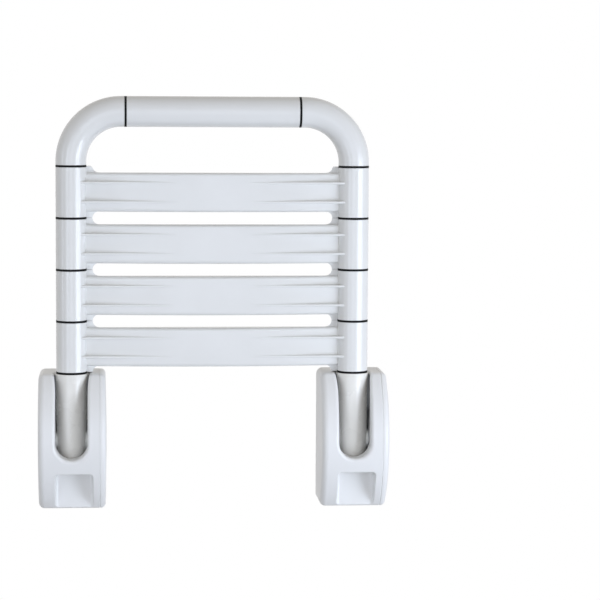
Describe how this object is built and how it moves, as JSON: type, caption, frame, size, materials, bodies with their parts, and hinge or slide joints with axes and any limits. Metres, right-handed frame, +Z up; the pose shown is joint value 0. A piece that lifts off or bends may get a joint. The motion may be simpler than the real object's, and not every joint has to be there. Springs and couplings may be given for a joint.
{
  "type": "wall-mounted folding shower seat",
  "caption": "White folding shower seat: nylon-sleeved tube frame with ribbed slats that swings down from D-shaped hinge housings screwed to a wall.",
  "frame": {"origin": "on the wall face, in the middle of the wall screw holes of both hinge plates", "axes": "X across the seat, -Y out of the wall, +Z up"},
  "size_m": [0.4004, 0.088, 0.472],
  "materials": {
    "nylon_white": "moulded nylon, glossy",
    "ring_black": "moulded, satin black",
    "knuckle_white": "cast alloy, white powder coat",
    "housing_white": "moulded ABS, glossy",
    "tube_steel": "drawn stainless tube",
    "plate_steel": "rolled stainless sheet",
    "screw_steel": "turned stainless",
    "bush_bronze": "turned bronze",
    "disc_acetal": "natural acetal, cut from sheet"
  },
  "bodies": {
    "wall_side": {"wall_plate_left": "plate_steel", "housing_left": "housing_white", "side_cap_left": "housing_white", "pivot_bolt_left": "screw_steel", "wall_plate_right": "plate_steel", "housing_right": "housing_white", "side_cap_right": "housing_white", "pivot_bolt_right": "screw_steel", "pivot_nuts": "screw_steel", "friction_discs": "disc_acetal", "stop_pins": "screw_steel", "cap_screws": "screw_steel"},
    "seat": {"seat_tube": "tube_steel", "top_sleeve": "nylon_white", "elbow_sleeve_left": "nylon_white", "elbow_sleeve_right": "nylon_white", "slat_1": "nylon_white", "slat_2": "nylon_white", "slat_3": "nylon_white", "slat_4": "nylon_white", "spacer_rings": "ring_black", "knuckle_left": "knuckle_white", "knuckle_right": "knuckle_white", "pivot_bushes": "bush_bronze", "grub_screws": "screw_steel"}
  },
  "joints": [
    {"name": "seat_fold", "type": "hinge", "parent": "wall_side", "child": "seat", "pos_m": [0, -0.045, 0], "axis": [1, 0, 0], "range_deg": [0, 90]}
  ]
}
